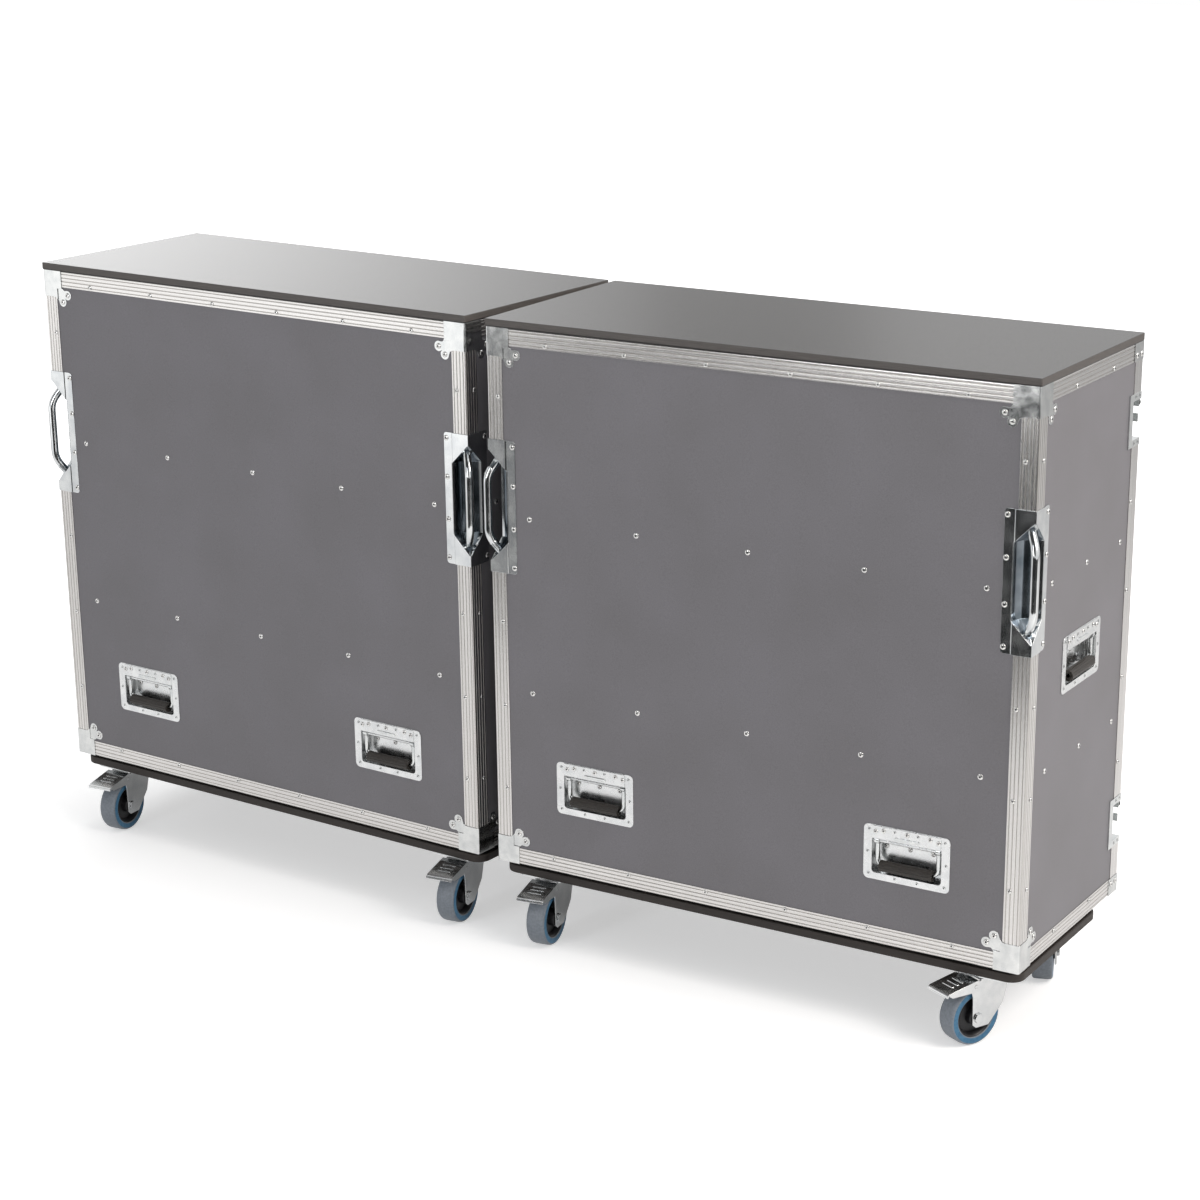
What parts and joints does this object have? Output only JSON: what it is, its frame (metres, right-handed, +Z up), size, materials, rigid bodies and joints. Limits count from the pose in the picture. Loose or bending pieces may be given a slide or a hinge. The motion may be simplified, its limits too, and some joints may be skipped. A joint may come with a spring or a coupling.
{
  "type": "trade show counter case",
  "caption": "Two hinged flight-case halves with shelves that open side by side into a counter on braked castors.",
  "frame": {"origin": "centre of the footprint, on the floor under the wheels", "axes": "+X along the counter to the right half, +Y towards the open rear, +Z up; the fronts face -Y"},
  "size_m": [2.0548, 0.4932, 1.116],
  "materials": {
    "black_laminate": "semi-gloss black laminate on plywood",
    "grey_laminate": "satin grey laminate on birch plywood",
    "black_board": "matt black coated plywood",
    "aluminium": "satin anodised, fluted",
    "zinc_steel": "bright zinc plate",
    "grey_tread": "matt grey rubber tread on a black hub"
  },
  "bodies": {
    "right_half": {"right_top": "black_laminate", "right_panels": "grey_laminate", "right_shelves": "grey_laminate", "right_shelf_rails": "zinc_steel", "right_edge_angles": "aluminium", "right_rim_channels": "aluminium", "right_corner_braces": "zinc_steel", "right_rivets": "zinc_steel", "right_castor_board": "black_board", "right_castor_plates": "zinc_steel", "right_corner_handles": "zinc_steel", "right_spring_dishes": "zinc_steel", "right_latch_dishes": "zinc_steel", "hinges_right": "zinc_steel"},
    "left_half": {"left_top": "black_laminate", "left_panels": "grey_laminate", "left_shelves": "grey_laminate", "left_shelf_rails": "zinc_steel", "left_edge_angles": "aluminium", "left_rim_channels": "aluminium", "left_corner_braces": "zinc_steel", "left_rivets": "zinc_steel", "left_castor_board": "black_board", "left_castor_plates": "zinc_steel", "left_corner_handles": "zinc_steel", "left_spring_dishes": "zinc_steel", "left_latch_dishes": "zinc_steel", "hinges_left": "zinc_steel"},
    "right_bail_inner": {"right_bail_inner": "zinc_steel"},
    "right_bail_outer": {"right_bail_outer": "zinc_steel"},
    "right_bail_side": {"right_bail_side": "zinc_steel"},
    "left_bail_inner": {"left_bail_inner": "zinc_steel"},
    "left_bail_outer": {"left_bail_outer": "zinc_steel"},
    "left_bail_side": {"left_bail_side": "zinc_steel"},
    "left_latch_upper": {"left_latch_upper": "zinc_steel"},
    "left_latch_lower": {"left_latch_lower": "zinc_steel"},
    "fork_left_outer_front": {"fork_left_outer_front": "zinc_steel"},
    "wheel_left_outer_front": {"wheel_left_outer_front": "grey_tread"},
    "pedal_left_outer_front": {"pedal_left_outer_front": "zinc_steel"},
    "fork_left_inner_front": {"fork_left_inner_front": "zinc_steel"},
    "wheel_left_inner_front": {"wheel_left_inner_front": "grey_tread"},
    "pedal_left_inner_front": {"pedal_left_inner_front": "zinc_steel"},
    "fork_left_outer_rear": {"fork_left_outer_rear": "zinc_steel"},
    "wheel_left_outer_rear": {"wheel_left_outer_rear": "grey_tread"},
    "pedal_left_outer_rear": {"pedal_left_outer_rear": "zinc_steel"},
    "fork_left_inner_rear": {"fork_left_inner_rear": "zinc_steel"},
    "wheel_left_inner_rear": {"wheel_left_inner_rear": "grey_tread"},
    "pedal_left_inner_rear": {"pedal_left_inner_rear": "zinc_steel"},
    "fork_right_inner_front": {"fork_right_inner_front": "zinc_steel"},
    "wheel_right_inner_front": {"wheel_right_inner_front": "grey_tread"},
    "pedal_right_inner_front": {"pedal_right_inner_front": "zinc_steel"},
    "fork_right_outer_front": {"fork_right_outer_front": "zinc_steel"},
    "wheel_right_outer_front": {"wheel_right_outer_front": "grey_tread"},
    "pedal_right_outer_front": {"pedal_right_outer_front": "zinc_steel"},
    "fork_right_inner_rear": {"fork_right_inner_rear": "zinc_steel"},
    "wheel_right_inner_rear": {"wheel_right_inner_rear": "grey_tread"},
    "pedal_right_inner_rear": {"pedal_right_inner_rear": "zinc_steel"},
    "fork_right_outer_rear": {"fork_right_outer_rear": "zinc_steel"},
    "wheel_right_outer_rear": {"wheel_right_outer_rear": "grey_tread"},
    "pedal_right_outer_rear": {"pedal_right_outer_rear": "zinc_steel"}
  },
  "joints": [
    {"name": "halves_fold", "type": "hinge", "parent": "right_half", "child": "left_half", "pos_m": [0, 0.21213, 0.6265], "axis": [0, 0, 1], "range_deg": [-176.2, 2.5]},
    {"name": "right_bail_inner_swing", "type": "hinge", "parent": "right_half", "child": "right_bail_inner", "pos_m": [0.22363, -0.18883, 0.3287], "axis": [-0.9995, -0.0325, 0], "range_deg": [0, 90], "stiffness_Nm_per_rad": 0.15},
    {"name": "right_bail_outer_swing", "type": "hinge", "parent": "right_half", "child": "right_bail_outer", "pos_m": [0.81532, -0.16961, 0.3287], "axis": [-0.9995, -0.0325, 0], "range_deg": [0, 90], "stiffness_Nm_per_rad": 0.15},
    {"name": "right_bail_side_swing", "type": "hinge", "parent": "right_half", "child": "right_bail_side", "pos_m": [1.00374, 0.03611, 0.6482], "axis": [0.0325, -0.9995, 0], "range_deg": [0, 90], "stiffness_Nm_per_rad": 0.15},
    {"name": "left_bail_inner_swing", "type": "hinge", "parent": "left_half", "child": "left_bail_inner", "pos_m": [-0.22363, -0.18883, 0.3287], "axis": [-0.9995, 0.0325, 0], "range_deg": [0, 90], "stiffness_Nm_per_rad": 0.15},
    {"name": "left_bail_outer_swing", "type": "hinge", "parent": "left_half", "child": "left_bail_outer", "pos_m": [-0.81532, -0.16961, 0.3287], "axis": [-0.9995, 0.0325, 0], "range_deg": [0, 90], "stiffness_Nm_per_rad": 0.15},
    {"name": "left_bail_side_swing", "type": "hinge", "parent": "left_half", "child": "left_bail_side", "pos_m": [-1.00374, 0.03611, 0.6482], "axis": [0.0325, 0.9995, 0], "range_deg": [0, 90], "stiffness_Nm_per_rad": 0.15},
    {"name": "left_latch_upper_turn", "type": "hinge", "parent": "left_half", "child": "left_latch_upper", "pos_m": [-0.99756, 0.22651, 0.976], "axis": [-0.9995, 0.0325, 0], "range_deg": [0, 90]},
    {"name": "left_latch_lower_turn", "type": "hinge", "parent": "left_half", "child": "left_latch_lower", "pos_m": [-0.99756, 0.22651, 0.282], "axis": [-0.9995, 0.0325, 0], "range_deg": [0, 90]},
    {"name": "swivel_left_outer_front", "type": "hinge", "parent": "left_half", "child": "fork_left_outer_front", "pos_m": [-0.9374, -0.10862, 0.115], "axis": [0, 0, 1], "continuous": true},
    {"name": "roll_left_outer_front", "type": "hinge", "parent": "fork_left_outer_front", "child": "wheel_left_outer_front", "pos_m": [-0.93322, -0.1484, 0.05], "axis": [0.9945, 0.1045, 0], "continuous": true},
    {"name": "brake_left_outer_front", "type": "hinge", "parent": "fork_left_outer_front", "child": "pedal_left_outer_front", "pos_m": [-0.93239, -0.15635, 0.108], "axis": [0.9945, 0.1045, 0], "range_deg": [0, 9]},
    {"name": "swivel_left_inner_front", "type": "hinge", "parent": "left_half", "child": "fork_left_inner_front", "pos_m": [-0.09785, -0.13588, 0.115], "axis": [0, 0, 1], "continuous": true},
    {"name": "roll_left_inner_front", "type": "hinge", "parent": "fork_left_inner_front", "child": "wheel_left_inner_front", "pos_m": [-0.09228, -0.17549, 0.05], "axis": [0.9903, 0.1392, 0], "continuous": true},
    {"name": "brake_left_inner_front", "type": "hinge", "parent": "fork_left_inner_front", "child": "pedal_left_inner_front", "pos_m": [-0.09117, -0.18341, 0.108], "axis": [0.9903, 0.1392, 0], "range_deg": [0, 9]},
    {"name": "swivel_left_outer_rear", "type": "hinge", "parent": "left_half", "child": "fork_left_outer_rear", "pos_m": [-0.93007, 0.11726, 0.115], "axis": [0, 0, 1], "continuous": true},
    {"name": "roll_left_outer_rear", "type": "hinge", "parent": "fork_left_outer_rear", "child": "wheel_left_outer_rear", "pos_m": [-0.93286, 0.15716, 0.05], "axis": [-0.9976, -0.0698, 0], "continuous": true},
    {"name": "brake_left_outer_rear", "type": "hinge", "parent": "fork_left_outer_rear", "child": "pedal_left_outer_rear", "pos_m": [-0.93342, 0.16515, 0.108], "axis": [-0.9976, -0.0698, 0], "range_deg": [0, 9]},
    {"name": "swivel_left_inner_rear", "type": "hinge", "parent": "left_half", "child": "fork_left_inner_rear", "pos_m": [-0.09051, 0.09, 0.115], "axis": [0, 0, 1], "continuous": true},
    {"name": "roll_left_inner_rear", "type": "hinge", "parent": "fork_left_inner_rear", "child": "wheel_left_inner_rear", "pos_m": [-0.08564, 0.1297, 0.05], "axis": [-0.9925, 0.1219, 0], "continuous": true},
    {"name": "brake_left_inner_rear", "type": "hinge", "parent": "fork_left_inner_rear", "child": "pedal_left_inner_rear", "pos_m": [-0.08466, 0.13764, 0.108], "axis": [-0.9925, 0.1219, 0], "range_deg": [0, 9]},
    {"name": "swivel_right_inner_front", "type": "hinge", "parent": "right_half", "child": "fork_right_inner_front", "pos_m": [0.09785, -0.13588, 0.115], "axis": [0, 0, 1], "continuous": true},
    {"name": "roll_right_inner_front", "type": "hinge", "parent": "fork_right_inner_front", "child": "wheel_right_inner_front", "pos_m": [0.1041, -0.17539, 0.05], "axis": [0.9877, 0.1564, 0], "continuous": true},
    {"name": "brake_right_inner_front", "type": "hinge", "parent": "fork_right_inner_front", "child": "pedal_right_inner_front", "pos_m": [0.10536, -0.18329, 0.108], "axis": [0.9877, 0.1564, 0], "range_deg": [0, 9]},
    {"name": "swivel_right_outer_front", "type": "hinge", "parent": "right_half", "child": "fork_right_outer_front", "pos_m": [0.9374, -0.10862, 0.115], "axis": [0, 0, 1], "continuous": true},
    {"name": "roll_right_outer_front", "type": "hinge", "parent": "fork_right_outer_front", "child": "wheel_right_outer_front", "pos_m": [0.92114, -0.14516, 0.05], "axis": [0.9135, -0.4067, 0], "continuous": true},
    {"name": "brake_right_outer_front", "type": "hinge", "parent": "fork_right_outer_front", "child": "pedal_right_outer_front", "pos_m": [0.91788, -0.15247, 0.108], "axis": [0.9135, -0.4067, 0], "range_deg": [0, 9]},
    {"name": "swivel_right_inner_rear", "type": "hinge", "parent": "right_half", "child": "fork_right_inner_rear", "pos_m": [0.09051, 0.09, 0.115], "axis": [0, 0, 1], "continuous": true},
    {"name": "roll_right_inner_rear", "type": "hinge", "parent": "fork_right_inner_rear", "child": "wheel_right_inner_rear", "pos_m": [0.08495, 0.12961, 0.05], "axis": [-0.9903, -0.1392, 0], "continuous": true},
    {"name": "brake_right_inner_rear", "type": "hinge", "parent": "fork_right_inner_rear", "child": "pedal_right_inner_rear", "pos_m": [0.08383, 0.13753, 0.108], "axis": [-0.9903, -0.1392, 0], "range_deg": [0, 9]},
    {"name": "swivel_right_outer_rear", "type": "hinge", "parent": "right_half", "child": "fork_right_outer_rear", "pos_m": [0.93007, 0.11726, 0.115], "axis": [0, 0, 1], "continuous": true},
    {"name": "roll_right_outer_rear", "type": "hinge", "parent": "fork_right_outer_rear", "child": "wheel_right_outer_rear", "pos_m": [0.91509, 0.15435, 0.05], "axis": [-0.9272, -0.3746, 0], "continuous": true},
    {"name": "brake_right_outer_rear", "type": "hinge", "parent": "fork_right_outer_rear", "child": "pedal_right_outer_rear", "pos_m": [0.91209, 0.16177, 0.108], "axis": [-0.9272, -0.3746, 0], "range_deg": [0, 9]}
  ]
}
